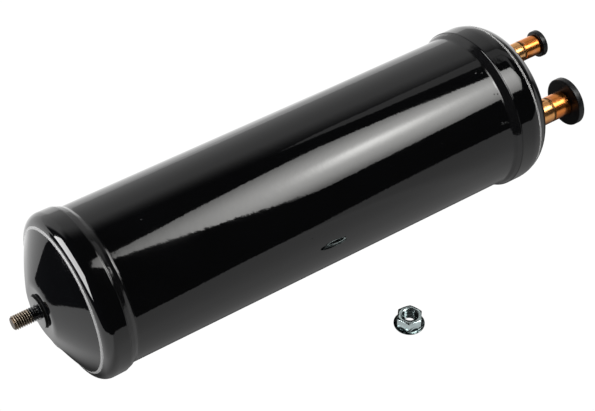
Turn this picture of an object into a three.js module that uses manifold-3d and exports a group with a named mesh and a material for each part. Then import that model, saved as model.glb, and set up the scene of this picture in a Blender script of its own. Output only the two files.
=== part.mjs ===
// Refrigerant accumulator, lying on its side, with its loose flange nut beside it.
// A drawn steel shell holds a U-tube; two capped copper stubs leave one end and an
// M8 mounting stud leaves the other. Millimetres, +Z up, vessel axis along X.
import * as THREE from 'three';
import { mergeVertices } from 'three/addons/utils/BufferGeometryUtils.js';
import Module from 'manifold-3d';

const wasm = await Module();
wasm.setup();

// ---- driving dimensions -------------------------------------------------------

const GAP = 0.15; // clearance between pieces that sit against each other

const SHELL_RADIUS = 44.45; // 88.9 mm tube
const SHELL_WALL = 2.5;
const SHELL_LENGTH = 251.5; // between the rims of the two heads
const SHELL_OVERLAP = 6; // how far the tube reaches into each head
const SHELL_SIDES = 64;

const HEAD_RADIUS = 46.9;
const HEAD_WALL = 2.25;

const STUD_SKIRT = 7.4;
const STUD_KNUCKLE = 6.5;
const STUD_SHOULDER_ANGLE = THREE.MathUtils.degToRad(12);
const STUD_BLEND = 4;
const STUD_DOME_ANGLE = THREE.MathUtils.degToRad(31); // slope where the dome starts
const STUD_DOME_RADIUS = 180;
const STUD_SEAT_EDGE = 17; // where the dome starts to round into the flat seat
const STUD_SEAT_ROUND = 10;

const PORT_SKIRT = 8;
const PORT_KNUCKLE = 17.7;

const STUD_WELD_LENGTH = 5.3;
const PORT_WELD_LENGTH = 4.8;

const PAD_RADIUS = 9;
const PAD_THICKNESS = 1.3;
const STUD_RADIUS = 4; // M8
const STUD_PROTRUSION = 14.456;
const STUD_CHAMFER = 0.8;

const BRACKET_X = 125;
const BRACKET_ANGLE = THREE.MathUtils.degToRad(174);

const FERRULE_END = 297.4;
const FERRULE_START = 266;
const FERRULE_WALL = 1;
const BRAZE_WIDTH = 0.9;
const INSERT_LENGTH = 8;
const STUB_WALL = 1;
const PORT_WELD_LEG = 2;
const PORT_SIDES = 24;

const SMALL_PORT = {
  radius: 6,
  y: 14.08,
  z: 12.08,
  stubEnd: 309.2,
  flangeRadius: 7.9,
  flangeThickness: 3.6,
  spigotLength: 7,
};
const LARGE_PORT = {
  radius: 7.5,
  y: -14.66,
  z: -12.51,
  stubEnd: 309.9,
  flangeRadius: 14.35,
  flangeThickness: 4.0,
  spigotLength: 8,
};
const PLUG_CLEARANCE = 0.05;
const PLUG_EDGE = 0.6;

const U_TUBE_RADIUS = 7.5;
const U_TUBE_WALL = 1;
const U_RETURN_OFFSET = 27;
const U_RETURN_ANGLE = THREE.MathUtils.degToRad(-38);
const U_BEND_X = 34;
const U_OPEN_END_X = 235;
const U_BEND_STEPS = 14;

const BRACKET_THICKNESS = 2;
const BRACKET_EAR_RADIUS = 10.5;
const BRACKET_TAB_RADIUS = 8.4;
const BRACKET_TAB_OFFSET = 33;

const DEFLECTOR_RADIUS = 8.5;
const DEFLECTOR_WALL = 0.8;
const DEFLECTOR_LENGTH = 18;
const DEFLECTOR_WINDOW = 11;

const NIPPLE_RADIUS = 3;
const NIPPLE_BORE = 1;
const NIPPLE_LENGTH = 7;
const SCREEN_RADIUS = 6.5;
const SCREEN_WALL = 0.6;
const SCREEN_LENGTH = 14;

const NUT_X = 150.7; // from the stud-end rim, along the vessel
const NUT_Y = -79.8; // from the vessel axis
const NUT_TURN = THREE.MathUtils.degToRad(20.5);
const NUT_FLATS = 12.9;
const NUT_HEIGHT = 7.2;
const NUT_FLANGE_RADIUS = 8.5;
const NUT_FLANGE_EDGE = 1.1;
const NUT_FLANGE_TOP = 2.6;
const NUT_BORE_RADIUS = 3.4;
const NUT_CHAMFER = 0.3;

// ---- derived dimensions ---------------------------------------------------------

const AXIS_HEIGHT = HEAD_RADIUS * Math.cos(Math.PI / SHELL_SIDES);
const STUD_SEAT_X = studSeat(0).x;
const PAD_FACE_X = STUD_SEAT_X - GAP - PAD_THICKNESS;
const STUD_TIP_X = PAD_FACE_X - STUD_PROTRUSION;
const PORT_FACE_X = SHELL_LENGTH + PORT_SKIRT + PORT_KNUCKLE;
const PLUG_END_X = LARGE_PORT.stubEnd + GAP + LARGE_PORT.flangeThickness;
const CENTRE_X = (STUD_TIP_X + PLUG_END_X) / 2;
const CENTRE_Y = (AXIS_HEIGHT + NUT_Y - NUT_FLANGE_RADIUS) / 2;

// ---- materials --------------------------------------------------------------------

function material(color, roughness, metalness) {
  return new THREE.MeshStandardMaterial({ color, roughness, metalness });
}

const blackPaint = material(0x0b0b0d, 0.12, 0.0);
const brownSteel = material(0x55493c, 0.45, 0.9);
const copper = material(0xc87a3e, 0.28, 1.0);
const copperPlate = material(0xb98a58, 0.3, 1.0);
const silverBraze = material(0x8d7442, 0.4, 1.0);
const blackPlastic = material(0x151618, 0.35, 0.0);
const zinc = material(0xaeb6b4, 0.35, 1.0);
const innerSteel = material(0x8f9294, 0.4, 1.0);
const wireMesh = material(0x9a9c9e, 0.5, 1.0);

// ---- geometry helpers ---------------------------------------------------------------

function arc(cx, cr, radius, from, to, steps) {
  const points = [];
  for (let i = 0; i <= steps; i++) {
    const angle = from + ((to - from) * i) / steps;
    points.push([cx + radius * Math.cos(angle), cr + radius * Math.sin(angle)]);
  }
  return points;
}

// Revolves [x, r] pairs about the X axis. A profile that leaves the axis closes on itself.
function revolve(profile, sides) {
  const points = profile.map(([x, r]) => new THREE.Vector2(r, x));
  if (THREE.ShapeUtils.area(points) < 0) {
    points.reverse();
  }
  if (points[0].x > 0 || points[points.length - 1].x > 0) {
    points.push(points[0].clone());
  }
  const geometry = new THREE.LatheGeometry(points, sides, Math.PI / sides, 2 * Math.PI);
  return geometry.rotateZ(-Math.PI / 2);
}

function ring(x0, x1, inner, outer, sides) {
  return revolve([[x0, inner], [x1, inner], [x1, outer], [x0, outer]], sides);
}

function rod(x0, x1, radius, sides) {
  const geometry = new THREE.CylinderGeometry(radius, radius, x1 - x0, sides);
  return geometry.rotateZ(-Math.PI / 2).translate((x0 + x1) / 2, 0, 0);
}

function isFlat(a, b, c) {
  return a === b || b === c || c === a;
}

function solidOf(geometry) {
  const bare = geometry.clone();
  bare.deleteAttribute('normal');
  bare.deleteAttribute('uv');
  const merged = mergeVertices(bare);
  const index = merged.index.array;
  const kept = [];
  for (let i = 0; i < index.length; i += 3) {
    if (!isFlat(index[i], index[i + 1], index[i + 2])) {
      kept.push(index[i], index[i + 1], index[i + 2]);
    }
  }
  const mesh = new wasm.Mesh({
    numProp: 3,
    vertProperties: merged.attributes.position.array,
    triVerts: Uint32Array.from(kept),
  });
  return new wasm.Manifold(mesh);
}

function geometryOf(solid) {
  const mesh = solid.getMesh();
  const geometry = new THREE.BufferGeometry();
  geometry.setAttribute('position', new THREE.BufferAttribute(mesh.vertProperties, 3));
  geometry.setIndex(new THREE.BufferAttribute(mesh.triVerts, 1));
  geometry.computeVertexNormals();
  return geometry;
}

function place(parent, name, geometry, look) {
  const mesh = new THREE.Mesh(geometry, look);
  mesh.name = name;
  parent.add(mesh);
}

// ---- shell ----------------------------------------------------------------------------

function shellTube() {
  const inner = SHELL_RADIUS - SHELL_WALL;
  const end = SHELL_LENGTH + SHELL_OVERLAP;
  return ring(-SHELL_OVERLAP, end, inner, SHELL_RADIUS, SHELL_SIDES);
}

// Where the dome of the stud-end head, or its inner face at a depth, meets the flat seat.
function studSeat(depth) {
  const line = studHeadLine(depth);
  const [x, r] = line[line.length - 1];
  return { x, r };
}

// Meridian of the stud-end head from its rim to its seat, at a depth below the outside.
function studHeadLine(depth) {
  const quarter = Math.PI / 2;
  const knuckleR = HEAD_RADIUS - STUD_KNUCKLE;
  const shoulder = Math.PI - STUD_SHOULDER_ANGLE;
  const knuckle = arc(-STUD_SKIRT, knuckleR, STUD_KNUCKLE - depth, quarter, shoulder, 6);
  const reach = STUD_KNUCKLE + STUD_BLEND;
  const blendX = -STUD_SKIRT + reach * Math.cos(shoulder);
  const blendR = knuckleR + reach * Math.sin(shoulder);
  const from = -STUD_SHOULDER_ANGLE;
  const blend = arc(blendX, blendR, STUD_BLEND + depth, from, -STUD_DOME_ANGLE, 2);
  const foot = [
    blendX + STUD_BLEND * Math.cos(STUD_DOME_ANGLE),
    blendR - STUD_BLEND * Math.sin(STUD_DOME_ANGLE),
  ];
  const domeX = foot[0] + STUD_DOME_RADIUS * Math.cos(STUD_DOME_ANGLE);
  const domeR = foot[1] - STUD_DOME_RADIUS * Math.sin(STUD_DOME_ANGLE);
  const seatAngle = Math.asin((STUD_SEAT_EDGE - domeR) / STUD_DOME_RADIUS);
  const steep = Math.PI - STUD_DOME_ANGLE;
  const shallow = Math.PI - seatAngle;
  const dome = arc(domeX, domeR, STUD_DOME_RADIUS - depth, steep, shallow, 4);
  const inward = STUD_DOME_RADIUS - STUD_SEAT_ROUND;
  const seatX = domeX - inward * Math.cos(seatAngle);
  const seatR = domeR + inward * Math.sin(seatAngle);
  const seat = arc(seatX, seatR, STUD_SEAT_ROUND - depth, shallow, Math.PI, 3);
  return [[0, HEAD_RADIUS - depth], ...knuckle, ...blend.slice(1), ...dome.slice(1), ...seat.slice(1)];
}

function studEndHead() {
  const outer = studHeadLine(0);
  const inner = studHeadLine(HEAD_WALL);
  const apex = [outer[outer.length - 1][0], 0];
  const innerApex = [inner[inner.length - 1][0], 0];
  return revolve([innerApex, ...inner.reverse(), ...outer, apex], SHELL_SIDES);
}

function portHeadLine(depth) {
  const skirtX = SHELL_LENGTH + PORT_SKIRT;
  const knuckleR = HEAD_RADIUS - PORT_KNUCKLE;
  const knuckle = arc(skirtX, knuckleR, PORT_KNUCKLE - depth, Math.PI / 2, 0, 9);
  return [[SHELL_LENGTH, HEAD_RADIUS - depth], ...knuckle];
}

function portEndHead() {
  const outer = portHeadLine(0);
  const inner = portHeadLine(HEAD_WALL);
  const face = [[PORT_FACE_X, 0]];
  const innerFace = [[PORT_FACE_X - HEAD_WALL, 0]];
  let head = solidOf(revolve([...innerFace, ...inner.reverse(), ...outer, ...face], SHELL_SIDES));
  for (const port of [SMALL_PORT, LARGE_PORT]) {
    const drill = rod(FERRULE_START, FERRULE_END, port.radius + GAP, PORT_SIDES);
    head = head.subtract(solidOf(drill.translate(0, port.y, port.z)));
  }
  return geometryOf(head);
}

// Fillet bead that runs from a head's rim down to the tube; side is the way it faces.
function weldBead(rimX, side, length) {
  const inner = SHELL_RADIUS + GAP;
  const start = rimX + side * GAP;
  const toe = rimX + side * length;
  const crown = [rimX + side * length * 0.45, HEAD_RADIUS - 0.75];
  const profile = [[start, inner], [start, HEAD_RADIUS - 0.1], crown, [toe, inner + 0.2], [toe, inner]];
  return revolve(profile, SHELL_SIDES);
}

// ---- mounting stud and nut --------------------------------------------------------------

function studPad() {
  const back = STUD_SEAT_X - GAP;
  const bore = STUD_RADIUS + GAP;
  const edge = 0.4;
  const profile = [
    [back, bore],
    [back, PAD_RADIUS],
    [PAD_FACE_X + edge, PAD_RADIUS],
    [PAD_FACE_X, PAD_RADIUS - edge],
    [PAD_FACE_X, bore],
  ];
  return revolve(profile, 48);
}

function mountingStud() {
  const root = STUD_SEAT_X - GAP;
  const profile = [
    [root, 0],
    [root, STUD_RADIUS],
    [STUD_TIP_X + STUD_CHAMFER, STUD_RADIUS],
    [STUD_TIP_X, STUD_RADIUS - STUD_CHAMFER],
    [STUD_TIP_X, 0],
  ];
  return revolve(profile, 32);
}

function upright(geometry) {
  return geometry.rotateY(-Math.PI / 2);
}

function flangeNut() {
  const corner = NUT_FLATS / 2 / Math.cos(Math.PI / 6);
  const hex = new THREE.CylinderGeometry(corner, corner, NUT_HEIGHT, 6);
  hex.rotateX(Math.PI / 2).translate(0, 0, NUT_HEIGHT / 2);
  const chamfered = revolve(
    [[0, 0], [0, corner], [NUT_HEIGHT - NUT_CHAMFER, corner], [NUT_HEIGHT, corner - 2 * NUT_CHAMFER], [NUT_HEIGHT, 0]],
    32,
  );
  const skirtTop = NUT_FLATS / 2 - 0.5;
  const flange = revolve(
    [[0, 0], [0, NUT_FLANGE_RADIUS], [NUT_FLANGE_EDGE, NUT_FLANGE_RADIUS], [NUT_FLANGE_TOP, skirtTop], [NUT_FLANGE_TOP, 0]],
    32,
  );
  const bore = rod(-1, NUT_HEIGHT + 1, NUT_BORE_RADIUS, 24);
  const body = solidOf(hex).intersect(solidOf(upright(chamfered)));
  const whole = body.add(solidOf(upright(flange))).subtract(solidOf(upright(bore)));
  return geometryOf(whole);
}

// ---- ports -------------------------------------------------------------------------------

function ferrule(port) {
  const bore = port.radius - FERRULE_WALL;
  return ring(FERRULE_START, FERRULE_END, bore, port.radius, PORT_SIDES);
}

function portWeld(port) {
  const inner = port.radius + GAP;
  const start = PORT_FACE_X + GAP;
  const profile = [[start, inner], [start, inner + PORT_WELD_LEG], [start + PORT_WELD_LEG, inner]];
  return revolve(profile, PORT_SIDES);
}

function brazeRing(port) {
  const x0 = FERRULE_END + GAP;
  const inner = port.radius - FERRULE_WALL;
  const edge = port.radius - 0.05;
  const crown = [x0 + BRAZE_WIDTH / 2, port.radius + 0.1];
  const profile = [[x0, inner], [x0, edge], crown, [x0 + BRAZE_WIDTH, edge], [x0 + BRAZE_WIDTH, inner]];
  return revolve(profile, PORT_SIDES);
}

// Copper stub: its reduced end is brazed into the ferrule, its mouth takes the plug.
function copperStub(port) {
  const shoulder = FERRULE_END + 2 * GAP + BRAZE_WIDTH;
  const insert = FERRULE_END - INSERT_LENGTH;
  const insertRadius = port.radius - FERRULE_WALL - GAP;
  const bore = port.radius - STUB_WALL;
  const insertBore = insertRadius - STUB_WALL;
  const profile = [
    [insert, insertBore],
    [insert, insertRadius],
    [shoulder, insertRadius],
    [shoulder, port.radius],
    [port.stubEnd, port.radius],
    [port.stubEnd, bore],
    [shoulder + STUB_WALL, bore],
    [shoulder, insertBore],
  ];
  return revolve(profile, PORT_SIDES);
}

function flangedPlug(port) {
  const near = port.stubEnd + GAP;
  const far = near + port.flangeThickness;
  const spigot = port.radius - STUB_WALL - PLUG_CLEARANCE;
  const tip = port.stubEnd - port.spigotLength;
  const rim = port.flangeRadius;
  const profile = [
    [tip, 0],
    [tip, spigot - PLUG_EDGE],
    [tip + PLUG_EDGE, spigot],
    [near, spigot],
    [near, rim - PLUG_EDGE],
    [near + PLUG_EDGE, rim],
    [far - PLUG_EDGE, rim],
    [far, rim - PLUG_EDGE],
    [far, 0],
  ];
  return revolve(profile, 2 * PORT_SIDES);
}

// ---- pieces inside the shell ------------------------------------------------------------------

const returnY = U_RETURN_OFFSET * Math.cos(U_RETURN_ANGLE);
const returnZ = U_RETURN_OFFSET * Math.sin(U_RETURN_ANGLE);
const LEG_DOWN = new THREE.Vector3(0, LARGE_PORT.y, LARGE_PORT.z);
const LEG_BACK = new THREE.Vector3(0, returnY, returnZ);
const BEND_RADIUS = LEG_DOWN.distanceTo(LEG_BACK) / 2;

// Two straight legs and a half-circle bend; the points crowd into the bend.
class UPath extends THREE.Curve {
  getPoint(t, target = new THREE.Vector3()) {
    const step = t * U_BEND_STEPS;
    const start = FERRULE_START - GAP;
    if (step < 1) {
      return target.copy(LEG_DOWN).setX(start + (U_BEND_X - start) * step);
    }
    if (step > U_BEND_STEPS - 1) {
      const along = step - (U_BEND_STEPS - 1);
      return target.copy(LEG_BACK).setX(U_BEND_X + (U_OPEN_END_X - U_BEND_X) * along);
    }
    const angle = (Math.PI * (step - 1)) / (U_BEND_STEPS - 2);
    target.lerpVectors(LEG_DOWN, LEG_BACK, (1 - Math.cos(angle)) / 2);
    return target.setX(U_BEND_X - BEND_RADIUS * Math.sin(angle));
  }

  getPointAt(u, target) {
    return this.getPoint(u, target);
  }

  getTangentAt(u, target) {
    return this.getTangent(u, target);
  }
}

function circlePath(shape, radius) {
  shape.absarc(0, 0, radius, 0, 2 * Math.PI, false);
  return shape;
}

function uTube() {
  const section = circlePath(new THREE.Shape(), U_TUBE_RADIUS);
  section.holes.push(circlePath(new THREE.Path(), U_TUBE_RADIUS - U_TUBE_WALL));
  const options = { steps: U_BEND_STEPS, extrudePath: new UPath(), curveSegments: 14 };
  return new THREE.ExtrudeGeometry(section, options);
}

// Outline of a plate that wraps circles given in counter-clockwise order.
function plateAround(circles) {
  const shape = new THREE.Shape();
  const normals = circles.map((a, i) => {
    const b = circles[(i + 1) % circles.length];
    const heading = Math.atan2(b.y - a.y, b.x - a.x);
    const spread = Math.asin((a.r - b.r) / Math.hypot(b.x - a.x, b.y - a.y));
    return heading - Math.PI / 2 + spread;
  });
  circles.forEach((c, i) => {
    const before = normals[(i + circles.length - 1) % circles.length];
    shape.absarc(c.x, c.y, c.r, before, normals[i], false);
  });
  shape.closePath();
  return shape;
}

function uTubeBracket() {
  const tabY = BRACKET_TAB_OFFSET * Math.cos(BRACKET_ANGLE);
  const tabZ = BRACKET_TAB_OFFSET * Math.sin(BRACKET_ANGLE);
  const down = { x: LEG_DOWN.y, y: LEG_DOWN.z, r: BRACKET_EAR_RADIUS };
  const back = { x: LEG_BACK.y, y: LEG_BACK.z, r: BRACKET_EAR_RADIUS };
  const plate = plateAround([down, back, { x: tabY, y: tabZ, r: BRACKET_TAB_RADIUS }]);
  for (const leg of [down, back]) {
    const hole = new THREE.Path();
    hole.absarc(leg.x, leg.y, U_TUBE_RADIUS + GAP, 0, 2 * Math.PI, true);
    plate.holes.push(hole);
  }
  const options = { depth: BRACKET_THICKNESS, bevelEnabled: false, curveSegments: 14 };
  const geometry = new THREE.ExtrudeGeometry(plate, options);
  // The sheet's x, y and depth become the vessel's Y, Z and X.
  return geometry.rotateX(Math.PI / 2).rotateZ(Math.PI / 2).translate(BRACKET_X, 0, 0);
}

// Cup under the inlet that throws the flow sideways through its window.
function inletDeflector() {
  const top = FERRULE_START - GAP;
  const bottom = top - DEFLECTOR_LENGTH;
  const inner = DEFLECTOR_RADIUS - DEFLECTOR_WALL;
  const bore = SMALL_PORT.radius - FERRULE_WALL;
  const profile = [
    [bottom, 0],
    [bottom, DEFLECTOR_RADIUS],
    [top, DEFLECTOR_RADIUS],
    [top, bore],
    [top - DEFLECTOR_WALL, bore],
    [top - DEFLECTOR_WALL, inner],
    [bottom + DEFLECTOR_WALL, inner],
    [bottom + DEFLECTOR_WALL, 0],
  ];
  const window = new THREE.BoxGeometry(DEFLECTOR_WINDOW, DEFLECTOR_WINDOW, DEFLECTOR_WINDOW);
  window.translate((top + bottom) / 2, 0, DEFLECTOR_RADIUS);
  return geometryOf(solidOf(revolve(profile, PORT_SIDES)).subtract(solidOf(window)));
}

const NIPPLE_TOP = U_BEND_X - BEND_RADIUS - U_TUBE_RADIUS - GAP;
const SCREEN_TOP = NIPPLE_TOP - NIPPLE_LENGTH / 2;

function oilNipple() {
  const bottom = NIPPLE_TOP - NIPPLE_LENGTH;
  const collar = SCREEN_RADIUS;
  const profile = [
    [NIPPLE_TOP, NIPPLE_BORE],
    [NIPPLE_TOP, NIPPLE_RADIUS],
    [SCREEN_TOP + 1, NIPPLE_RADIUS],
    [SCREEN_TOP + 1, collar],
    [SCREEN_TOP, collar],
    [SCREEN_TOP, NIPPLE_RADIUS],
    [bottom, NIPPLE_RADIUS],
    [bottom, NIPPLE_BORE],
  ];
  return revolve(profile, PORT_SIDES);
}

function oilScreen() {
  const top = SCREEN_TOP - GAP;
  return ring(top - SCREEN_LENGTH, top, SCREEN_RADIUS - SCREEN_WALL, SCREEN_RADIUS, PORT_SIDES);
}

function oilScreenCap() {
  const top = SCREEN_TOP - 2 * GAP - SCREEN_LENGTH;
  return revolve([[top, 0], [top, SCREEN_RADIUS], [top - 1, SCREEN_RADIUS], [top - 1, 0]], PORT_SIDES);
}

// ---- assembly ----------------------------------------------------------------------------------

const group = new THREE.Group();
const vessel = new THREE.Group();
vessel.position.set(-CENTRE_X, -CENTRE_Y, AXIS_HEIGHT);
group.add(vessel);

place(vessel, 'shell_tube', shellTube(), blackPaint);
place(vessel, 'stud_end_head', studEndHead(), blackPaint);
place(vessel, 'port_end_head', portEndHead(), blackPaint);
place(vessel, 'stud_end_weld', weldBead(0, 1, STUD_WELD_LENGTH), blackPaint);
place(vessel, 'port_end_weld', weldBead(SHELL_LENGTH, -1, PORT_WELD_LENGTH), blackPaint);
place(vessel, 'stud_pad', studPad(), blackPaint);
place(vessel, 'mounting_stud', mountingStud(), brownSteel);
place(vessel, 'u_tube', uTube(), innerSteel);
place(vessel, 'u_tube_bracket', uTubeBracket(), innerSteel);

for (const [label, port] of [['small', SMALL_PORT], ['large', LARGE_PORT]]) {
  const fitting = new THREE.Group();
  fitting.position.set(0, port.y, port.z);
  vessel.add(fitting);
  place(fitting, `${label}_ferrule`, ferrule(port), copperPlate);
  place(fitting, `${label}_port_weld`, portWeld(port), blackPaint);
  place(fitting, `${label}_braze_ring`, brazeRing(port), silverBraze);
  place(fitting, `${label}_stub`, copperStub(port), copper);
  place(fitting, `${label}_plug`, flangedPlug(port), blackPlastic);
}

const deflector = new THREE.Group();
deflector.position.set(0, SMALL_PORT.y, SMALL_PORT.z);
vessel.add(deflector);
place(deflector, 'inlet_deflector', inletDeflector(), innerSteel);

const pickup = new THREE.Group();
pickup.position.addVectors(LEG_DOWN, LEG_BACK).multiplyScalar(0.5);
vessel.add(pickup);
place(pickup, 'oil_nipple', oilNipple(), innerSteel);
place(pickup, 'oil_screen', oilScreen(), wireMesh);
place(pickup, 'oil_screen_cap', oilScreenCap(), innerSteel);

const looseNut = new THREE.Group();
looseNut.position.set(NUT_X - CENTRE_X, NUT_Y - CENTRE_Y, 0);
looseNut.rotation.z = NUT_TURN;
group.add(looseNut);
place(looseNut, 'flange_nut', flangeNut(), zinc);

export default group;
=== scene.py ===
import math
import random

import bmesh
import bpy
from mathutils import Matrix, Vector


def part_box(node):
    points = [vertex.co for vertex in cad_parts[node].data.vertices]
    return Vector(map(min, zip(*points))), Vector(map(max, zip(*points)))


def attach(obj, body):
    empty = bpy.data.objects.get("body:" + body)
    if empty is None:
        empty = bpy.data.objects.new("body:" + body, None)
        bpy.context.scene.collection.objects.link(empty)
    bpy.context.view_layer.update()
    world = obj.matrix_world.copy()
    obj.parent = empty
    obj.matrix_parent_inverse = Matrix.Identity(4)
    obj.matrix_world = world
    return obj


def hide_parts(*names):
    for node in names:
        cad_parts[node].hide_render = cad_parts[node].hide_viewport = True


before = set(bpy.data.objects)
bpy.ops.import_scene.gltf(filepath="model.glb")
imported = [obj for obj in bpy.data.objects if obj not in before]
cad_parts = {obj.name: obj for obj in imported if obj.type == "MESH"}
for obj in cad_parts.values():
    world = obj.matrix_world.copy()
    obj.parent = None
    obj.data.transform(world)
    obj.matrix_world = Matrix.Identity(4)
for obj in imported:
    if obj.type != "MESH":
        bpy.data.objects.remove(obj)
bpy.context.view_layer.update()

# ---- sizes, in millimetres along the vessel (x from the stud-end rim) -------------

MM = 0.001
TUBE_R, TUBE_WALL = 44.45, 2.5
HEAD_R, HEAD_WALL = 46.84, 2.25
LENGTH, OVERLAP = 251.5, 6.0  # tube between the rims, and how far it reaches into each head
STUD_SKIRT, STUD_KNUCKLE, STUD_BLEND = 7.4, 6.5, 4.0
SHOULDER, DOME = math.radians(12), math.radians(31)
DOME_R, SEAT_EDGE, SEAT_ROUND = 180.0, 17.0, 10.0
PORT_SKIRT, PORT_KNUCKLE = 8.0, 17.7
PAD_R, PAD_FACE, STUD_TIP = 9.0, -28.34, -42.798
SEAT_FACE = -26.9
PITCH, STUD_MAJOR, STUD_MINOR = 1.25, 3.98, 3.25
FERRULE_START, FERRULE_END = 266.0, 297.4
PORT_FACE = LENGTH + PORT_SKIRT + PORT_KNUCKLE
SMALL = dict(name="small", r=6.0, y=14.08, z=12.08, end=309.2,
             flange=7.9, thick=3.6, spigot=7.0, edge=0.7)
LARGE = dict(name="large", r=7.5, y=-14.66, z=-12.51, end=309.9,
             flange=14.35, thick=4.0, spigot=8.0, edge=0.55)
STUB_WALL = 1.0
NUT, NUT_TURN = Vector((150.7, -79.8)), math.radians(20.5)
NUT_FLATS, NUT_CORNER_R, NUT_HEIGHT, NUT_FLANGE, NUT_BORE = 12.9, 7.36, 7.2, 8.48, 3.36
RIM = [(0.0, HEAD_R - 0.5), (0.03, HEAD_R - 0.33), (0.11, HEAD_R - 0.18),
       (0.24, HEAD_R - 0.06), (0.42, HEAD_R)]
STUD_CREASE, PORT_CREASE = (-14.15, 40.75), (265.2, 45.95)

shell_low, shell_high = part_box("shell_tube")
AXIS = Vector((shell_low.x + OVERLAP * MM,
               (shell_low.y + shell_high.y) / 2, (shell_low.z + shell_high.z) / 2))


def at(x, y, z):
    """A point of the vessel's own coordinates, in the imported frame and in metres."""
    return AXIS + Vector((x, y, z)) * MM


# ---- mesh helpers ------------------------------------------------------------------

def bands(first, rings, seg, closed=False):
    """Quads between neighbouring rings of seg points, and from the last to the first if closed."""
    faces = []
    for i in range(rings if closed else rings - 1):
        a, b = first + i * seg, first + (i + 1) % rings * seg
        for k in range(seg):
            n = (k + 1) % seg
            faces.append((a + k, a + n, b + n, b + k))
    return faces


def finish_mesh(name, verts, faces, sharp=40):
    mesh = bpy.data.meshes.new(name)
    mesh.from_pydata(verts, [], faces)
    mesh.validate()
    bm = bmesh.new()
    bm.from_mesh(mesh)
    bmesh.ops.remove_doubles(bm, verts=bm.verts, dist=1e-7)
    bmesh.ops.recalc_face_normals(bm, faces=bm.faces)
    bm.to_mesh(mesh)
    bm.free()
    mesh.shade_smooth()
    mesh.set_sharp_from_angle(angle=math.radians(sharp))
    obj = bpy.data.objects.new(name, mesh)
    bpy.context.scene.collection.objects.link(obj)
    return obj


def arc(cx, cr, radius, start, end, steps):
    out = []
    for i in range(steps + 1):
        a = start + (end - start) * i / steps
        out.append((cx + radius * math.cos(a), cr + radius * math.sin(a)))
    return out


def rounded(corners, closed=True, steps=6):
    """Corner list of (x, r, fillet) turned into a smooth outline."""
    out = []
    n = len(corners)
    for i, (x, r, f) in enumerate(corners):
        if f <= 0 or (not closed and i in (0, n - 1)):
            out.append((x, r))
            continue
        p = Vector((x, r))
        a = Vector(corners[i - 1][:2]) - p
        b = Vector(corners[(i + 1) % n][:2]) - p
        half = a.angle(b) / 2
        cut = min(f / math.tan(half), 0.48 * a.length, 0.48 * b.length)
        f = cut * math.tan(half)
        u, v = a.normalized(), b.normalized()
        centre = p + (u + v).normalized() * f / math.sin(half)
        start = p + u * cut - centre
        stop = p + v * cut - centre
        turn = start.angle(stop)
        for k in range(steps + 1):
            w = start * math.sin(turn * (1 - k / steps)) + stop * math.sin(turn * k / steps)
            out.append(tuple(centre + w / math.sin(turn)))
    return out


def revolve(name, profile, segments, y=0.0, z=0.0, closed=True, warp=None, sharp=40):
    """Turns (x, r) pairs about an axis parallel to the vessel's, at y, z."""
    verts, faces = [], []
    n = len(profile)
    for s in range(segments):
        t = 2 * math.pi * s / segments
        for x, r in profile:
            if warp:
                x, r = warp(t, x, r)
            verts.append(at(x, y + r * math.cos(t), z + r * math.sin(t)))
    last = n if closed else n - 1
    for s in range(segments):
        a, b = s * n, ((s + 1) % segments) * n
        for i in range(last):
            j = (i + 1) % n
            faces.append((a + i, a + j, b + j, b + i))
    return finish_mesh(name, verts, faces, sharp)


def even(points, step):
    """The same polyline with a point at least every step."""
    out = [points[0]]
    for a, b in zip(points, points[1:]):
        n = max(1, math.ceil(math.dist(a, b) / step))
        for k in range(1, n + 1):
            out.append((a[0] + (b[0] - a[0]) * k / n, a[1] + (b[1] - a[1]) * k / n))
    return out


def ridge(points, spot, height, width):
    """Raises the outline by a small round ridge centred at spot."""
    out = []
    for i, p in enumerate(points):
        a = Vector(points[max(i - 1, 0)])
        b = Vector(points[min(i + 1, len(points) - 1)])
        d = (b - a).normalized()
        lift = height * math.exp(-((math.dist(p, spot) / width) ** 2))
        out.append((p[0] + d.y * lift, p[1] - d.x * lift))
    return out


def waves(seed, counts, size):
    """A smooth closed wobble of angle: a sum of sines with seeded phases."""
    rng = random.Random(seed)
    terms = [(c, rng.uniform(0, 6.28), rng.uniform(0.5, 1.0)) for c in counts]
    return lambda t: size * sum(w * math.sin(c * t + p) for c, p, w in terms) / len(terms)


# ---- materials ---------------------------------------------------------------------

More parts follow.
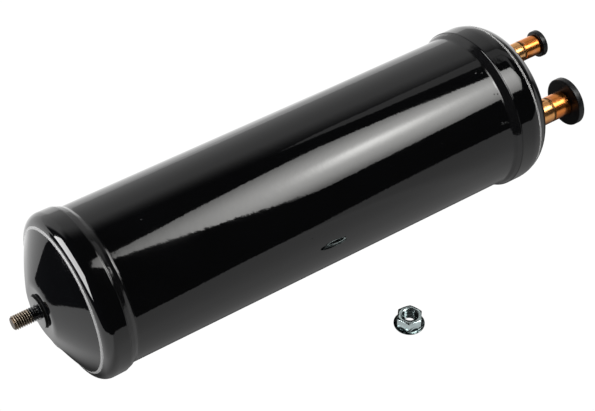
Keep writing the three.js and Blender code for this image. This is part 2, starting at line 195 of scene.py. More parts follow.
class Look:
    """A procedural material under construction."""

    def __init__(self, name):
        self.mat = bpy.data.materials.new(name)
        self.mat.use_nodes = True
        self.nt = self.mat.node_tree
        self.bsdf = self.nt.nodes["Principled BSDF"]
        self.coord = self.nt.nodes.new("ShaderNodeTexCoord")

    def node(self, kind, **values):
        n = self.nt.nodes.new("ShaderNode" + kind)
        for key, value in values.items():
            if hasattr(n, key):
                setattr(n, key, value)
            else:
                n.inputs[key.replace("_", " ")].default_value = value
        return n

    def link(self, a, b):
        self.nt.links.new(a, b)

    def noise(self, scale, detail=4.0, rough=0.55, stretch=(1, 1, 1), offset=(0, 0, 0)):
        m = self.node("Mapping")
        m.inputs["Scale"].default_value = stretch
        m.inputs["Location"].default_value = offset
        self.link(self.coord.outputs["Object"], m.inputs["Vector"])
        n = self.node("TexNoise", Scale=scale, Detail=detail, Roughness=rough)
        self.link(m.outputs["Vector"], n.inputs["Vector"])
        return n.outputs["Fac"]

    def ramp(self, source, stops):
        n = self.node("ValToRGB")
        e = n.color_ramp.elements
        e[0].position, e[0].color = stops[0][0], (*stops[0][1], 1)
        e[1].position, e[1].color = stops[-1][0], (*stops[-1][1], 1)
        for pos, col in stops[1:-1]:
            el = e.new(pos)
            el.color = (*col, 1)
        self.link(source, n.inputs["Fac"])
        return n.outputs["Color"]

    def span(self, source, a, b, lo, hi, smooth=False):
        n = self.node("MapRange")
        n.interpolation_type = "SMOOTHSTEP" if smooth else "LINEAR"
        for key, value in zip(("From Min", "From Max", "To Min", "To Max"), (a, b, lo, hi)):
            n.inputs[key].default_value = value
        self.link(source, n.inputs["Value"])
        return n.outputs["Result"]

    def math(self, op, a, b=None):
        n = self.node("Math", operation=op)
        for i, v in enumerate((a, b)):
            if v is None:
                continue
            if isinstance(v, (int, float)):
                n.inputs[i].default_value = v
            else:
                self.link(v, n.inputs[i])
        return n.outputs["Value"]

    def axis(self, index):
        n = self.node("SeparateXYZ")
        self.link(self.coord.outputs["Object"], n.inputs["Vector"])
        return n.outputs[index]

    def spread(self, middle, along):
        """Distance from a line through middle that runs along X (0) or Z (2)."""
        keep = tuple(0 if i == along else 1 for i in range(3))
        flat = self.node("VectorMath", operation="MULTIPLY_ADD")
        self.link(self.coord.outputs["Object"], flat.inputs[0])
        flat.inputs[1].default_value = keep
        flat.inputs[2].default_value = tuple(-k * c for k, c in zip(keep, middle))
        reach = self.node("VectorMath", operation="LENGTH")
        self.link(flat.outputs["Vector"], reach.inputs[0])
        return reach.outputs["Value"]

    def tones(self, source, *stops):
        """Base colour as a ramp of grey levels or colours."""
        colours = [(p, c if isinstance(c, tuple) else (c, c, c)) for p, c in stops]
        self.set(Base_Color=self.ramp(source, colours))

    def mix(self, fac, a, b):
        n = self.node("Mix", data_type="RGBA")
        self.plug(fac, n.inputs[0])
        self.plug(a, n.inputs[6])
        self.plug(b, n.inputs[7])
        return n.outputs[2]

    def plug(self, value, socket):
        if isinstance(value, bpy.types.NodeSocket):
            self.link(value, socket)
        elif isinstance(value, (int, float)):
            socket.default_value = value
        else:
            socket.default_value = (*value, 1)

    def bump(self, height, strength, distance):
        n = self.node("Bump", Strength=strength, Distance=distance)
        self.link(height, n.inputs["Height"])
        previous = self.bsdf.inputs["Normal"].links
        if previous:
            self.link(previous[0].from_socket, n.inputs["Normal"])
        self.link(n.outputs["Normal"], self.bsdf.inputs["Normal"])

    def set(self, **values):
        for key, value in values.items():
            self.plug(value, self.bsdf.inputs[key.replace("_", " ")])
        return self


def black_paint():
    look = Look("gloss_black_paint")
    fleck = look.span(look.noise(2600, 1, 0.4), 0.735, 0.78, 0, 1)
    deep, thin = (0.0003, 0.00032, 0.0005), (0.0007, 0.0008, 0.0011)
    base = look.ramp(look.noise(35, 3), [(0.3, deep), (0.7, thin)])
    base = look.mix(fleck, base, (0.008, 0.008, 0.009))
    # Painted highlight: the shoulders' creases get a pale line in the base colour.
    jitter = look.span(look.noise(240, 2), 0.3, 0.7, -0.00006, 0.00006)
    radial = look.math("ADD", look.spread(AXIS, 0), jitter)
    patchy = look.span(look.noise(300, 2, 0.5), 0.3, 0.6, 0.88, 1)
    lines = []
    for x, r in (STUD_CREASE, PORT_CREASE):
        dx = look.math("SUBTRACT", look.axis(0), AXIS.x + x * MM)
        dr = look.math("SUBTRACT", radial, r * MM)
        d2 = look.math("ADD", look.math("MULTIPLY", dx, dx), look.math("MULTIPLY", dr, dr))
        line = look.span(look.math("SQRT", d2), 0.0005, 0.00105, 1, 0, True)
        lines.append(look.math("MULTIPLY", line, patchy))
    stud_crease_highlight, port_crease_highlight = lines
    # Painted highlight along both creases, paler at the port end.
    base = look.mix(stud_crease_highlight, base, (0.16, 0.16, 0.16))
    look.set(Base_Color=look.mix(port_crease_highlight, base, (0.36, 0.36, 0.36)))
    smear = look.noise(60, 4, 0.6, stretch=(0.5, 1, 1), offset=(3, 1, 2))
    gloss = look.span(smear, 0.35, 0.75, 0.035, 0.075)
    crease_roughening = look.math("MULTIPLY", look.math("MAXIMUM", stud_crease_highlight, port_crease_highlight), 0.4)
    look.set(Roughness=look.math("ADD", gloss, crease_roughening), IOR=1.5)
    look.bump(look.noise(210, 2, 0.5), 0.035, 0.0006)
    look.bump(look.noise(900, 2, 0.5), 0.03, 0.0002)
    return look.mat


def flank_shade_paint():
    """The pad's narrow flank, which looks dark and matt in the picture, is given painted shade: a
    dark matt finish with little specular. The cause is a guess.
    """
    look = Look("pad_flank_painted_shade")
    look.tones(look.noise(400, 3), (0.3, 0.001), (0.7, 0.006))
    rough = look.span(look.noise(900, 2), 0.3, 0.7, 0.45, 0.7)
    look.set(Roughness=rough, Specular_IOR_Level=0.06)
    look.bump(look.noise(1500, 2), 0.2, 0.0002)
    return look.mat


def bead_paint():
    look = Look("gloss_black_weld_paint")
    look.tones(look.noise(80, 3), (0.3, (0.0014, 0.0014, 0.0016)), (0.7, (0.004, 0.004, 0.0045)))
    look.set(Roughness=look.span(look.noise(300, 3), 0.3, 0.7, 0.05, 0.12))
    look.bump(look.noise(420, 3, 0.6), 0.12, 0.0006)
    return look.mat


def stud_metal():
    """Brown phosphated thread with painted shade in its grooves, and paint that ran over its last
    turns by the pad.
    """
    look = Look("phosphated_stud_steel")
    grain = look.noise(1500, 4, 0.6)
    flank = look.ramp(grain, [(0.3, (0.12, 0.095, 0.07)), (0.55, (0.23, 0.19, 0.145)),
                              (0.75, (0.36, 0.31, 0.25))])
    # Painted shade: the thread's grooves are far darker than its flanks and crests.
    groove_shade = look.ramp(grain, [(0.3, (0.018, 0.013, 0.009)), (0.7, (0.07, 0.048, 0.03))])
    crest = look.span(look.spread(AXIS, 0), 0.0034, 0.00385, 0, 1, True)
    edge = look.math("ADD", look.axis(0), look.span(look.noise(700, 2), 0.3, 0.7, -0.0008, 0.0008))
    face = at(PAD_FACE, 0, 0).x
    paint = look.span(edge, face - 0.0052, face - 0.0042, 0, 1, True)
    look.set(Base_Color=look.mix(paint, look.mix(crest, groove_shade, flank), (0.002, 0.002, 0.0025)))
    look.set(Metallic=look.math("SUBTRACT", 1, paint))
    rough = look.span(look.noise(900, 3), 0.3, 0.7, 0.36, 0.5)
    look.set(Roughness=look.math("MULTIPLY", rough, look.span(paint, 0, 1, 1, 0.25)))
    look.bump(grain, 0.15, 0.0001)
    return look.mat


def copper(name, dark, mid, light, rough):
    look = Look(name)
    draw = look.noise(90, 3, 0.5, stretch=(0.25, 1.6, 1.6))
    spot = look.noise(420, 4, 0.65)
    base = look.ramp(draw, [(0.3, dark), (0.5, mid), (0.75, light)])
    stain = look.span(spot, 0.56, 0.74, 0, 0.4, True)
    pale = look.span(look.noise(150, 3, 0.5, offset=(4, 2, 7)), 0.5, 0.68, 0, 0.3, True)
    base = look.mix(pale, base, (0.86, 0.52, 0.38))
    look.set(Base_Color=look.mix(stain, base, tuple(0.5 * c for c in dark)), Metallic=1.0)
    look.set(Roughness=look.span(spot, 0.3, 0.75, rough * 0.85, rough * 1.5))
    look.bump(look.noise(45, 2, 0.4, stretch=(0.3, 2, 2)), 0.05, 0.0006)
    look.bump(spot, 0.02, 0.0002)
    return look.mat


def braze():
    look = Look("silver_braze")
    blot = look.noise(700, 4, 0.7)
    look.tones(blot, (0.4, (0.03, 0.014, 0.004)), (0.54, (0.2, 0.09, 0.025)),
               (0.7, (0.72, 0.43, 0.16)))
    look.set(Metallic=0.9, Roughness=look.span(blot, 0.3, 0.7, 0.5, 0.25))
    look.bump(blot, 0.5, 0.0005)
    return look.mat


def plastic():
    look = Look("black_moulded_plastic")
    look.tones(look.noise(120, 4), (0.3, (0.003, 0.0033, 0.004)), (0.7, (0.008, 0.0085, 0.01)))
    rough = look.span(look.noise(500, 3), 0.3, 0.7, 0.26, 0.4)
    look.set(Roughness=rough, Specular_IOR_Level=0.3)
    look.bump(look.noise(1800, 2, 0.5), 0.06, 0.0002)
    return look.mat


def zinc():
    """Bright, but dark in the bore and on the flange, outside the hexagon, to match the picture's
    tones: painted shade in the bore and a painted dark reflection on the flange, where the real
    zinc is bright."""
    look = Look("bright_zinc_plate")
    tone = look.noise(300, 3, 0.5)
    base = look.ramp(tone, [(0.3, (0.46, 0.55, 0.55)), (0.7, (0.62, 0.72, 0.72))])
    middle = at(NUT.x, NUT.y, 0).xy.to_3d()
    local = look.node("VectorMath", operation="SUBTRACT")
    look.link(look.coord.outputs["Object"], local.inputs[0])
    local.inputs[1].default_value = middle

    def across(angle):
        dot = look.node("VectorMath", operation="DOT_PRODUCT")
        look.link(local.outputs["Vector"], dot.inputs[0])
        dot.inputs[1].default_value = (math.cos(angle), math.sin(angle), 0)
        return look.math("ABSOLUTE", dot.outputs["Value"])

    first, second, third = (across(NUT_TURN + k * math.pi / 3) for k in range(3))
    hexagon = look.math("MAXIMUM", first, look.math("MAXIMUM", second, third))
    reach = look.spread(middle, 2)
    # Painted shade darkens the threaded bore.
    bore = look.math("MULTIPLY", look.span(reach, 0.0037, 0.0043, 1, 0, True), 0.75)
    # Painted dark reflection on the flange outside the hexagon, broken by paler streaks.
    streak = look.span(look.noise(520, 3, 0.6), 0.42, 0.56, 0.4, 0.0, True)
    streak = look.math("MULTIPLY", streak, look.span(reach, 0.0071, 0.0073, 0, 1, True))
    outside = look.span(hexagon, 0.00652, 0.00664, 0, 1, True)
    foot = look.math("MULTIPLY", outside, look.math("SUBTRACT", 1.0, streak))
    base = look.mix(bore, base, (0.035, 0.06, 0.062))
    look.set(Base_Color=look.mix(foot, base, (0.014, 0.022, 0.023)))
    look.set(Metallic=1.0, Roughness=look.span(look.noise(700, 3), 0.3, 0.7, 0.12, 0.2))
    look.bump(look.noise(500, 2, 0.5), 0.02, 0.0002)
    return look.mat


def inner_steel():
    look = Look("bare_inner_steel")
    tone = look.noise(140, 4, 0.6, stretch=(0.3, 1, 1))
    look.tones(tone, (0.3, 0.3), (0.7, (0.5, 0.5, 0.49)))
    look.set(Metallic=1.0, Roughness=look.span(tone, 0.3, 0.7, 0.35, 0.55))
    look.bump(look.noise(900, 3), 0.1, 0.0002)
    return look.mat


PAINT = black_paint()
BEAD = bead_paint()
STUD_STEEL = stud_metal()
COPPER = copper("drawn_copper",
                (0.66, 0.18, 0.035), (0.84, 0.28, 0.065), (0.93, 0.41, 0.13), 0.19)
PLATED = copper("copper_plated_steel",
                (0.72, 0.29, 0.085), (0.88, 0.45, 0.17), (0.95, 0.63, 0.34), 0.18)
BRAZE = braze()
PLASTIC = plastic()
ZINC = zinc()
INNER = inner_steel()


def finish_piece(obj, mat, body, slot, *nodes):
    obj.data.materials.clear()
    obj.data.materials.append(mat)
    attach(obj, body)
    if nodes:
        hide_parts(*nodes)
    return obj


# ---- shell and heads ---------------------------------------------------------------

def make_shell():
    left, right, inside = -OVERLAP, LENGTH + OVERLAP, TUBE_R - TUBE_WALL
    xs = [left, 0.0] + [4 + 6 * k for k in range(41)] + [LENGTH, right]
    inner = [(x, inside) for x in (right, 170.0, 85.0, left)]
    return revolve("shell", [(x, TUBE_R) for x in xs] + inner, 360)


def make_nibs():
    """Specks of dirt and spatter under the paint, mostly by the far seam."""
    rng = random.Random(11)
    # x, the direction (y, z) and the radius of each speck
    spots = [(240.6, -14.1, 42.1, 0.62), (243.8, -15.5, 41.7, 0.62),
             (243.4, -27.5, 34.9, 0.45), (245.4, -28.0, 34.5, 0.45)]
    for _ in range(9):
        x, y = rng.uniform(241.5, 246.5), -38.6 + rng.uniform(-1.6, 1.6)
        spots.append((x, y, 22.0, rng.uniform(0.3, 0.55)))
    for _ in range(7):
        t = math.radians(rng.uniform(0, 360))
        spots.append((rng.uniform(14, 236), math.cos(t), math.sin(t), rng.uniform(0.22, 0.38)))
    sink, flatness, rings, seg = 0.06, 0.55, 4, 14
    verts, faces = [], []
    for x, y, z, size in spots:
        t = math.atan2(z, y)
        out = Vector((0, math.cos(t), math.sin(t)))
        side = Vector((0, -math.sin(t), math.cos(t)))
        base = Vector((x, 0, 0)) + out * (TUBE_R - sink)
        first = len(verts)
        for i in range(rings):
            a = math.pi / 2 * i / rings
            for k in range(seg):
                b = 2 * math.pi * k / seg
                ring = Vector((1, 0, 0)) * math.cos(b) + side * math.sin(b)
                lift = out * size * flatness * math.sin(a)
                verts.append(at(*(base + ring * size * math.cos(a) + lift)))
        top, under, last = first + rings * seg, first + rings * seg + 1, first + (rings - 1) * seg
        verts += [at(*(base + out * size * flatness)), at(*base)]
        faces += bands(first, rings, seg)
        for k in range(seg):
            n = (k + 1) % seg
            faces += [(last + k, last + n, top), (first + n, first + k, under)]
    return finish_mesh("paint_nibs", verts, faces, 50)


def stud_head_line(depth, steps):
    """Skirt, knuckle, hollow blend, shallow dome, rounded edge and flat seat, depth inside."""
    knuckle_r = HEAD_R - STUD_KNUCKLE
    end = math.pi - SHOULDER
    line = [(0.0, HEAD_R - depth)]
    line += arc(-STUD_SKIRT, knuckle_r, STUD_KNUCKLE - depth, math.pi / 2, end, steps)
    reach = STUD_KNUCKLE + STUD_BLEND
    bx, br = -STUD_SKIRT + reach * math.cos(end), knuckle_r + reach * math.sin(end)
    line += arc(bx, br, STUD_BLEND + depth, -SHOULDER, -DOME, max(2, steps // 3))[1:]
    fx, fr = bx + STUD_BLEND * math.cos(DOME), br - STUD_BLEND * math.sin(DOME)
    dx, dr = fx + DOME_R * math.cos(DOME), fr - DOME_R * math.sin(DOME)
    low = math.asin((SEAT_EDGE - dr) / DOME_R)
    line += arc(dx, dr, DOME_R - depth, math.pi - DOME, math.pi - low, steps)[1:]
    inward = DOME_R - SEAT_ROUND
    sx, sr = dx - inward * math.cos(low), dr + inward * math.sin(low)
    line += arc(sx, sr, SEAT_ROUND - depth, math.pi - low, math.pi, max(3, steps // 2))[1:]
    return line + [(sx - SEAT_ROUND + depth, 0.0)]


def make_stud_head():
    outer = even(stud_head_line(0, 28), 0.4)
    outer = ridge(outer, STUD_CREASE, 0.16, 0.45)
    inner = stud_head_line(HEAD_WALL, 8)
    rim = [(-x, r) for x, r in RIM]
    hang = waves(5, (3, 7, 13, 23, 37), 0.09)
    swage_reach, pip_y, pip_z, pip_height, pip_width = 8.5, -11.5, -17.0, 0.9, 4.0

    def droop(t, x, r):
        """The skirt draws in unevenly towards its rim, and the dome carries one low pip."""
        edge = max(0.0, 1 + x / swage_reach)
        if r > 40:
            return x, r - (0.15 + hang(t)) * edge * edge
        dy, dz = r * math.cos(t) - pip_y, r * math.sin(t) - pip_z
        return x - pip_height * math.exp(-(dy * dy + dz * dz) / pip_width ** 2), r

    return revolve("stud_head", rim + outer[2:] + inner[::-1], 360, warp=droop)


def port_head_line(depth, steps):
    skirt = LENGTH + PORT_SKIRT
    line = [(LENGTH, HEAD_R - depth)]
    line += arc(skirt, HEAD_R - PORT_KNUCKLE, PORT_KNUCKLE - depth, math.pi / 2, 0, steps)
    return line


def make_port_head():
    outer = even(port_head_line(0, 36), 0.4)
    outer = ridge(outer, PORT_CREASE, 0.12, 0.6)
    inner = port_head_line(HEAD_WALL, 10)
    face, back = PORT_FACE, PORT_FACE - HEAD_WALL
    rim = [(LENGTH + x, r) for x, r in RIM]
    profile = rim + outer[2:] + [(face, 14.0), (face, 0.0)] + [(back, 0.0)] + inner[::-1]
    head = revolve("port_head", profile, 256)
    for port in (SMALL, LARGE):
        bore = port["r"] + 0.12
        tool = [(face - 8, 0), (face - 8, bore), (face + 8, bore), (face + 8, 0)]
        hole = revolve("cutter", tool, 64, port["y"], port["z"])
        cut = head.modifiers.new("hole", "BOOLEAN")
        cut.operation, cut.solver, cut.object = "DIFFERENCE", "EXACT", hole
        evaluated = head.evaluated_get(bpy.context.evaluated_depsgraph_get())
        mesh = bpy.data.meshes.new_from_object(evaluated)
        head.modifiers.clear()
        head.data = mesh
        bpy.data.objects.remove(hole)
    head.data.shade_smooth()
    head.data.set_sharp_from_angle(angle=math.radians(40))
    return head


def make_bead(name, rim, side, length, seed):
    """Weld bead from a head's rim to the tube, with ripples and a wandering toe."""
    top = HEAD_R - 0.32
    inner = TUBE_R - 0.02
    corners = [
        (rim - side * 0.1, inner, 0),
        (rim - side * 0.1, top, 0.1),
        (rim + side * 0.3, top - 0.1, 0.5),
        (rim + side * length * 0.5, HEAD_R - 1.15, 3.0),
        (rim + side * length * 0.9, inner + 0.09, 1.6),
        (rim + side * (length + 0.9), inner, 0),
    ]
    profile = even(rounded(corners), 0.3)
    toe = waves(seed, (3, 5, 8, 13, 21), 0.45)
    swell = waves(seed + 1, (4, 7, 11, 17, 29), 0.22)
    fine = waves(seed + 2, (90, 131, 177, 203), 0.035)

    def warp(t, x, r):
        high = min(1.0, max(0.0, (r - inner) / (top - inner)))
        away = min(1.0, abs(x - rim) / length)
        x += side * toe(t) * away * away
        r += 1.6 * high * (1 - high) * (swell(t + away * 0.02) + fine(t + away * 0.03))
        return x, r

    return revolve(name, profile, 512, warp=warp, sharp=60)


finish_piece(make_nibs(), PAINT, "vessel", "black_paint")
finish_piece(make_shell(), PAINT, "vessel", "black_paint", "shell_tube")
finish_piece(make_stud_head(), PAINT, "vessel", "black_paint", "stud_end_head")
finish_piece(make_port_head(), PAINT, "vessel", "black_paint", "port_end_head")
stud_bead = make_bead("stud_end_bead", 0, 1, 5.2, 11)
finish_piece(stud_bead, BEAD, "vessel", "black_paint", "stud_end_weld")
port_bead = make_bead("port_end_bead", LENGTH, -1, 4.7, 23)
finish_piece(port_bead, BEAD, "vessel", "black_paint", "port_end_weld")


# ---- stud and pad ------------------------------------------------------------------

def make_pad():
    back, hole, seat, face = SEAT_FACE + 0.12, 4.05, SEAT_FACE, PAD_FACE
    corners = [
        (back, hole, 0), (back, PAD_R + 0.7, 0), (seat - 0.02, PAD_R + 0.4, 0),
        (seat - 0.05, PAD_R, 0.3), (face - 0.2, PAD_R, 0.16), (face - 0.15, 6.0, 0),
        (face - 0.25, 4.6, 0.4), (face - 0.45, hole, 0)]
    return revolve("pad", rounded(corners), 160)


def thread_height(frac):
    """0 at the root and 1 at the crest of a rounded V thread."""
    tri = 1 - abs(2 * (frac % 1.0) - 1)
    return min(1.0, max(0.0, (tri - 0.2) / 0.66))


def make_stud():
    x1 = PAD_FACE + 2.0  # hidden inside the pad
    rows, seg, root, bevel = 14, 72, STUD_MINOR - 0.05, 0.85
    count = rows * (int((x1 - STUD_TIP) / PITCH) + 1)
    turns = [2 * math.pi * s / seg for s in range(seg)]
    verts = []
    for k in range(count + 1):
        x = STUD_TIP + (x1 - STUD_TIP) * k / count
        limit = root + (x - STUD_TIP) * bevel
        for s, t in enumerate(turns):
            r = STUD_MINOR + (STUD_MAJOR - STUD_MINOR) * thread_height(x / PITCH - s / seg)
            r = min(r, max(limit, root))
            verts.append(at(x, r * math.cos(t), r * math.sin(t)))
    faces = bands(0, count + 1, seg)
    first = len(verts)
    for r in (STUD_MINOR - 0.35, 1.6):
        verts += [at(STUD_TIP, r * math.cos(t), r * math.sin(t)) for t in turns]
    tip = len(verts)
    verts.append(at(STUD_TIP + 0.06, 0, 0))
    for s in range(seg):
        n = (s + 1) % seg
        faces.append((s, first + s, first + n, n))
        faces.append((first + s, first + seg + s, first + seg + n, first + n))
        faces.append((first + seg + s, tip, first + seg + n))
    faces.append(tuple(count * seg + s for s in range(seg)))
    return finish_mesh("threaded_stud", verts, faces, 35)


pad = finish_piece(make_pad(), PAINT, "vessel", "black_paint", "stud_pad")
# Painted shade: the pad's flank faces get the dark matt second material.
pad.data.materials.append(flank_shade_paint())
for face in pad.data.polygons:
    middle = (face.center - AXIS) / MM
    if math.hypot(middle.y, middle.z) > PAD_R - 0.12 and middle.x > PAD_FACE - 0.1:
        face.material_index = 1
finish_piece(make_stud(), STUD_STEEL, "vessel", "bare_steel", "mounting_stud")


# ---- ports -------------------------------------------------------------------------

def make_port(port):
    """One port from the head outwards: fillet, ferrule, braze, copper stub and plug."""
    name, r, y, z = port["name"], port["r"], port["y"], port["z"]
    inside, end, stub_end = r - STUB_WALL, FERRULE_END, port["end"]
    seed = int(r * 10)

    def turned(suffix, points, seg, mat, slot, node, **options):
        piece = revolve(name + suffix, points, seg, y, z, **options)
        finish_piece(piece, mat, "vessel", slot, name + node)

    sleeve = rounded([(FERRULE_START, inside, 0.2), (FERRULE_START, r, 0.2), (end, r, 0.35),
                      (end, inside, 0.2)])
    turned("_sleeve", even(sleeve, 2.0), 128, PLATED, "copper_plated", "_ferrule")
    fillet = rounded([(PORT_FACE + 0.1, r + 0.1, 0), (PORT_FACE + 0.1, r + 2.1, 0.15),
                      (PORT_FACE + 0.9, r + 0.75, 0.8), (PORT_FACE + 2.1, r + 0.1, 0)])
    turned("_fillet", fillet, 128, BEAD, "black_paint", "_port_weld")
    swell = waves(seed + 3, (3, 7, 11, 19), 0.22)

    def lumpy(t, x, rr):
        return x + swell(t) * 0.8, rr + (0.18 * swell(t + 1.0) if rr > r - 0.5 else 0)

    ring = rounded([
        (end - 0.25, r - 0.95, 0), (end - 0.25, r - 0.2, 0.2), (end + 0.3, r + 0.04, 0.4),
        (end + 0.6, r - 0.2, 0.3), (end + 1.0, r + 0.06, 0.4), (end + 1.5, r - 0.15, 0.2),
        (end + 1.5, r - 0.95, 0)])
    turned("_braze", ring, 160, BRAZE, "braze", "_braze_ring", warp=lumpy)
    wobble = waves(seed, (2, 3, 5, 9), 0.05)
    start, socket = end + 1.2, r - 1.15  # the stub is drawn in to fit the ferrule
    outline = rounded([
        (end - 8, socket - STUB_WALL, 0), (end - 8, socket, 0.2), (start, socket, 0),
        (start, r, 0.4), (stub_end, r, 0.35), (stub_end, inside, 0.2), (start + 1, inside, 0.2),
        (start, socket - STUB_WALL, 0)])
    turned("_copper", even(outline, 0.8), 128, COPPER, "copper", "_stub",
           warp=lambda t, x, rr: (x, rr + 0.25 * wobble(t)))
    near, spigot, f, edge = stub_end + 0.15, r - 1.06, port["flange"], port["edge"]
    far, tip = near + port["thick"], stub_end - port["spigot"]
    plug = rounded([
        (tip, 0, 0), (tip, r - 1.6, 0.3), (tip + 0.8, spigot, 0.3), (near, spigot, 0),
        (near, f, edge), (far, f, edge), (far, f - 2.6, 0.3), (far - 0.5, f - 3.2, 0.3),
        (far - 0.5, 0, 0)], closed=False)
    cap = revolve(name + "_cap", even(plug, 1.2), 160, y, z, closed=False)
    finish_piece(cap, PLASTIC, name + "_plug_body", "black_plastic", name + "_plug")


make_port(SMALL)
make_port(LARGE)


# ---- nut ---------------------------------------------------------------------------

def soft_min(a, b, k):
    h = max(k - abs(a - b), 0.0) / k
    return min(a, b) - h * h * k / 4


def soft_max(a, b, k):
    return -soft_min(-a, -b, k)


def along(v, points):
    """Piecewise-linear value through sorted (v, value) points."""
    for (a, p), (b, q) in zip(points, points[1:]):
        if v <= b:
            return p + (q - p) * max(0.0, v - a) / (b - a)
    return points[-1][1]


NUT_SKIRT = ((0.95, NUT_FLANGE), (1.2, 7.25), (1.32, 7.13), (2.9, 6.45), (4.4, 5.5))  # z, radius


def nut_outside(t, z):
    sector = (t % (math.pi / 3)) - math.pi / 6
    hexagon = soft_min(NUT_FLATS / 2 / math.cos(sector), NUT_CORNER_R, 0.14)
    body = soft_min(hexagon, NUT_FLATS / 2 - 0.05 + (NUT_HEIGHT - z) * 2.6, 0.2)
    if z >= NUT_SKIRT[-1][0]:
        return body
    foot_round = 0.3 * (1 - math.sin(min(1.0, z / 0.5) * math.pi / 2))
    return soft_max(body, min(along(z, NUT_SKIRT), NUT_FLANGE - foot_round), 0.3)


def nut_inside(t, z):
    lead = max(0.0, 0.75 - z, z - NUT_HEIGHT + 0.75)
    thread = NUT_BORE + 0.6 * thread_height(z / PITCH - t / (2 * math.pi))
    return max(thread, NUT_BORE + lead * 1.3)


def make_nut():
    seg, top = 240, NUT_HEIGHT
    levels = [0.0, 0.1, 0.2, 0.35, 0.5, 0.7] + [0.9 + 0.03 * k for k in range(24)]
    levels += [1.65 + 0.13 * k for k in range(40)] + [top - 0.36 + 0.045 * k for k in range(8)]
    levels = sorted(z for z in levels if z < top - 0.02) + [top]
    rings = [(nut_outside, z) for z in levels]
    rings += [(nut_inside, top * k / 96) for k in reversed(range(97))]
    verts = []
    for radius, z in rings:
        for s in range(seg):
            t = 2 * math.pi * s / seg
            r = radius(t, z)
            a = t + NUT_TURN + math.pi / 6
            p = at(NUT.x + r * math.cos(a), NUT.y + r * math.sin(a), 0)
            verts.append(Vector((p.x, p.y, z * MM)))
    return finish_mesh("serrated_flange_nut", verts, bands(0, len(rings), seg, closed=True), 38)


finish_piece(make_nut(), ZINC, "nut_body", "zinc", "flange_nut")

# The parts inside keep their CAD meshes.
for name in ("u_tube", "u_tube_bracket", "inlet_deflector",
             "oil_nipple", "oil_screen", "oil_screen_cap"):
    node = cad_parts[name]
    node.data.materials.clear()
    node.data.materials.append(INNER)


# ---- studio ------------------------------------------------------------------------

class Light:
    """Node arithmetic that sets a light level from a place or a direction."""

    def __init__(self, nt):
        self.nt = nt

    def node(self, kind):
        return self.nt.nodes.new("ShaderNode" + kind)

    def place(self, vector=None):
        """X, Y and Z of a vector, or of the lit point in the scene's own coordinates."""
        sep = self.node("SeparateXYZ")
        self.nt.links.new(vector or self.node("NewGeometry").outputs["Position"], sep.inputs[0])
        return sep.outputs

    def math(self, op, a, b=0.0):
        n = self.node("Math")
        n.operation = op
        for i, v in enumerate((a, b)):
            if isinstance(v, (int, float)):
                n.inputs[i].default_value = v
            else:
                self.nt.links.new(v, n.inputs[i])
        return n.outputs[0]

    def add(self, a, b):
        return self.math("ADD", a, b)

    def times(self, a, b):
        return self.math("MULTIPLY", a, b)

    def fade(self, source, a, b, lo, hi, smooth=True):
        n = self.node("MapRange")
        n.interpolation_type = "SMOOTHSTEP" if smooth else "LINEAR"
        for key, value in zip(("From Min", "From Max", "To Min", "To Max"), (a, b, lo, hi)):
            n.inputs[key].default_value = value
        self.nt.links.new(source, n.inputs["Value"])
        return n.outputs["Result"]

    def curve(self, source, start, stops, scale):
        """Piecewise-linear level along one measure, with stops in mm from start."""
        stops = [(start + x * MM, v / scale) for x, v in stops]
        lo, hi = stops[0][0], stops[-1][0]
        n = self.node("ValToRGB")
        e = n.color_ramp.elements
        e[0].position, e[-1].position = 0.0, 1.0
        e[0].color, e[-1].color = ((v, v, v, 1) for v in (stops[0][1], stops[-1][1]))
        for x, v in stops[1:-1]:
            e.new((x - lo) / (hi - lo)).color = (v, v, v, 1)
        self.nt.links.new(self.fade(source, lo, hi, 0, 1, smooth=False), n.inputs["Fac"])
        return self.times(n.outputs["Color"], scale)


def glow(name, strength, tint=(1, 1, 1)):
    """An emitting material, with the arithmetic and the socket that can set its level."""
    mat = bpy.data.materials.new(name)
    mat.use_nodes = True
    nt = mat.node_tree
    nt.nodes.clear()
    out = nt.nodes.new("ShaderNodeOutputMaterial")
    em = nt.nodes.new("ShaderNodeEmission")
    em.inputs["Color"].default_value = (*tint, 1)
    em.inputs["Strength"].default_value = strength
    nt.links.new(em.outputs[0], out.inputs["Surface"])
    return mat, Light(nt), em.inputs["Strength"]


def stage(obj, mat, camera, reflect):
    """Marks a surface as studio: seen by the camera, or else only lighting and mirrored."""
    obj.data.materials.append(mat)
    obj.visible_camera = camera
    obj.visible_glossy = obj.visible_diffuse = obj.visible_transmission = reflect
    obj.visible_shadow = False


def card(name, corners, mat, camera=False, reflect=True):
    mesh = bpy.data.meshes.new(name)
    mesh.from_pydata(corners, [], [tuple(range(len(corners)))])
    obj = bpy.data.objects.new(name, mesh)
    bpy.context.scene.collection.objects.link(obj)
    stage(obj, mat, camera, reflect)


def level_card(name, height, outline, mat):
    """A card that lies level at a height in mm over the vessel's axis."""
    card(name, [at(x, y, height) for x, y in outline], mat)


def dome(name, radius, mat):
    """A closed backdrop round everything, seen by the camera only."""
    verts, rows, seg = [], 12, 24
    for i in range(rows + 1):
        a = math.pi * (i / rows - 0.5)
        for s in range(seg):
            t = 2 * math.pi * s / seg
            level = radius * math.cos(a)
            verts.append((level * math.cos(t), level * math.sin(t), radius * math.sin(a)))
    stage(finish_mesh(name, verts, bands(0, rows + 1, seg)), mat, camera=True, reflect=False)


# The floor and backdrop as the camera sees them: plain and white.
white, _, _ = glow("plain_white", 1.02)
FLOOR_HALF, FLOOR_Z = 6, -0.0002
corners = [(x * FLOOR_HALF, y * FLOOR_HALF, FLOOR_Z)
           for x, y in ((-1, -1), (1, -1), (1, 1), (-1, 1))]
card("floor", corners, white, camera=True, reflect=False)
dome("backdrop", 12.0, white)

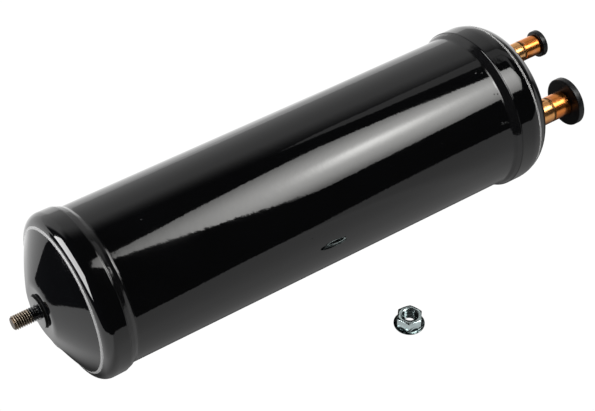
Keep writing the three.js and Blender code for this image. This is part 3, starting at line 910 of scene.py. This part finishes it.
# The same floor as the object mirrors it: a sheet with the object's own soft shade,
# which ends in front and to the left. Levels are given across and along the vessel.
# The outline and the levels were fitted to the reflections in the picture.
FLOOR_SHADE = [
    (-120, 0.66), (-98, 0.66), (-85, 0.64), (-61, 0.52), (-45, 0.38), (-33, 0.28), (-30, 0.19),
    (-24, 0.07), (0, 0.03), (30, 0.1), (70, 0.6), (120, 1.3)]
FLOOR_GAIN = [
    (0, 1.06), (40, 0.97), (100, 1.0), (160, 1.02), (220, 1.05), (245, 1.12), (275, 0.97),
    (300, 0.94)]
FLOOR_LEFT = 1.2
FLOOR_EDGE = [
    (-1900, 1780), (-308, 350), (-237, 271), (-192, 212), (-147, 162), (-122, 134), (-150, 131),
    (-182, 125), (-202, 98), (-186, 59), (-176, 39), (-192, 27), (-208, 5), (-226, -18),
    (-150, -110), (-124, -190), (0, -222), (79, -258), (118, -284), (200, -376), (306, -463),
    (433, -655), (643, -991), (1031, -1626), (1800, -2900), (2600, -2900), (2600, 2600),
    (-1900, 2600)]
sheet, light, level = glow("floor_mirrored", 1.0)
x, y, _ = light.place()
shade = light.curve(y, AXIS.y, FLOOR_SHADE, 2.0)
shade = light.times(shade, light.curve(x, AXIS.x, FLOOR_GAIN, 2.0))
left = light.fade(x, AXIS.x - 0.016, AXIS.x - 0.045, 0, 1)
right = light.math("SUBTRACT", 1.0, left)
light.nt.links.new(light.add(light.times(shade, right), light.times(FLOOR_LEFT, left)), level)
card("floor_sheet", [at(x, y, 0).xy.to_3d() for x, y in FLOOR_EDGE], sheet)

# Large soft box in front on the right, with its lamp behind the cloth at one spot.
# Its outline was fitted to its reflection too.
BOX_HEIGHT, LAMP_X, LAMP_Y = 700, 520, -312
LAMP_CORE, LAMP_WIDE = (8.2, 0.062), (8.8, 0.30)  # level and radius in metres
BOX_EDGE = [
    (375, -20), (440, 12), (530, -30), (580, -75), (630, -115), (1040, -410), (863, -690),
    (800, -760), (760, -800), (740, -840), (700, -880), (670, -920), (640, -945), (615, -905),
    (580, -860), (560, -810), (525, -765), (500, -720), (480, -680), (455, -650), (435, -600),
    (410, -560), (380, -520), (355, -470), (330, -430), (305, -390), (285, -350), (255, -300),
    (225, -250), (222, -155), (270, -115), (300, -80)]
box, light, level = glow("soft_box_front", 1.0, (1.0, 0.995, 0.975))
x, y, _ = light.place()
lamp = at(LAMP_X, LAMP_Y, BOX_HEIGHT)
dx, dy = light.math("SUBTRACT", x, lamp.x), light.math("SUBTRACT", y, lamp.y)
# The spot is drawn out towards +X and -Y.
dx = light.math("MINIMUM", dx, light.times(dx, 0.6))
dy = light.math("MAXIMUM", dy, light.times(dy, 0.6))
d2 = light.add(light.times(dx, dx), light.times(dy, dy))
core, wide = (light.times(light.math("EXPONENT", light.times(d2, -1 / radius ** 2)), strength)
              for strength, radius in (LAMP_CORE, LAMP_WIDE))
light.nt.links.new(light.add(core, wide), level)
level_card("soft_box_front", BOX_HEIGHT, BOX_EDGE, box)

# Soft box on the left, upright.
box, _, _ = glow("soft_box_left", 13.0)
mid, side = Vector((-495, 100, 0)), Vector((0.26, 0.966, 0))
span_and_height = ((-270, 22), (300, 22), (300, 420), (-270, 420))
corners = [mid + side * a + Vector((0, 0, h)) for a, h in span_and_height]
card("soft_box_left", [at(*c) for c in corners], box)

# Dim ceiling above the backdrop.
CEILING = 705
STRIP_EDGE = [(430, 240), (540, 165), (640, 130), (1500, 60), (1500, 290), (600, 290), (480, 275)]
PATCH_EDGE = [(660, 125), (880, 90), (890, -190), (760, -205), (735, -60), (700, -10), (662, 0)]
dim, _, _ = glow("ceiling_strip", 0.55)
level_card("ceiling_strip", CEILING, STRIP_EDGE, dim)
level_card("ceiling_patch", CEILING, PATCH_EDGE, dim)

# Room: dark, with a pale backdrop behind the object. Angles are in degrees.
world = bpy.data.worlds.new("studio")
bpy.context.scene.world = world
world.use_nodes = True
world.node_tree.nodes.clear()
light = Light(world.node_tree)
x, y, height = light.place(light.node("TexCoord").outputs["Generated"])
azimuth = light.math("ARCTAN2", y, x)


def turning(start, stop, lo, hi):
    return light.fade(azimuth, math.radians(start), math.radians(stop), lo, hi)


def climbing(start, stop, lo, hi):
    sines = (math.sin(math.radians(a)) for a in (start, stop))
    return light.fade(height, *sines, lo, hi)


rise = light.add(turning(2, 16, 0, 0.13), turning(24, 40, 0, 0.52))
rise = light.add(rise, turning(60, 95, 0, 0.35))
value = light.times(rise, turning(116, 126, 1, 0))
value = light.times(value, climbing(40, 61, 1, 0))
value = light.times(value, climbing(0, 35, 1.25, 1.1))
background, out = light.node("Background"), light.node("OutputWorld")
light.nt.links.new(light.add(value, 0.05), background.inputs["Strength"])
light.nt.links.new(background.outputs[0], out.inputs["Surface"])

# Camera, fitted to the picture's outlines.
EYE = (-261.765, -580.871, 669.908)
RIGHT, UP, BACK = (0.8279, -0.5608, 0), (0.3907, 0.5767, 0.7174), (-0.4023, -0.5939, 0.6966)
camera = bpy.data.cameras.new("camera")
camera.sensor_width = 36
camera.lens = 107.476
camera.clip_start, camera.clip_end = 0.02, 30
cam = bpy.data.objects.new("camera", camera)
cam.matrix_world = Matrix.Translation(at(*EYE)) @ Matrix((RIGHT, UP, BACK)).transposed().to_4x4()
bpy.context.scene.collection.objects.link(cam)
bpy.context.scene.camera = cam
bpy.context.scene.view_settings.view_transform = "Standard"
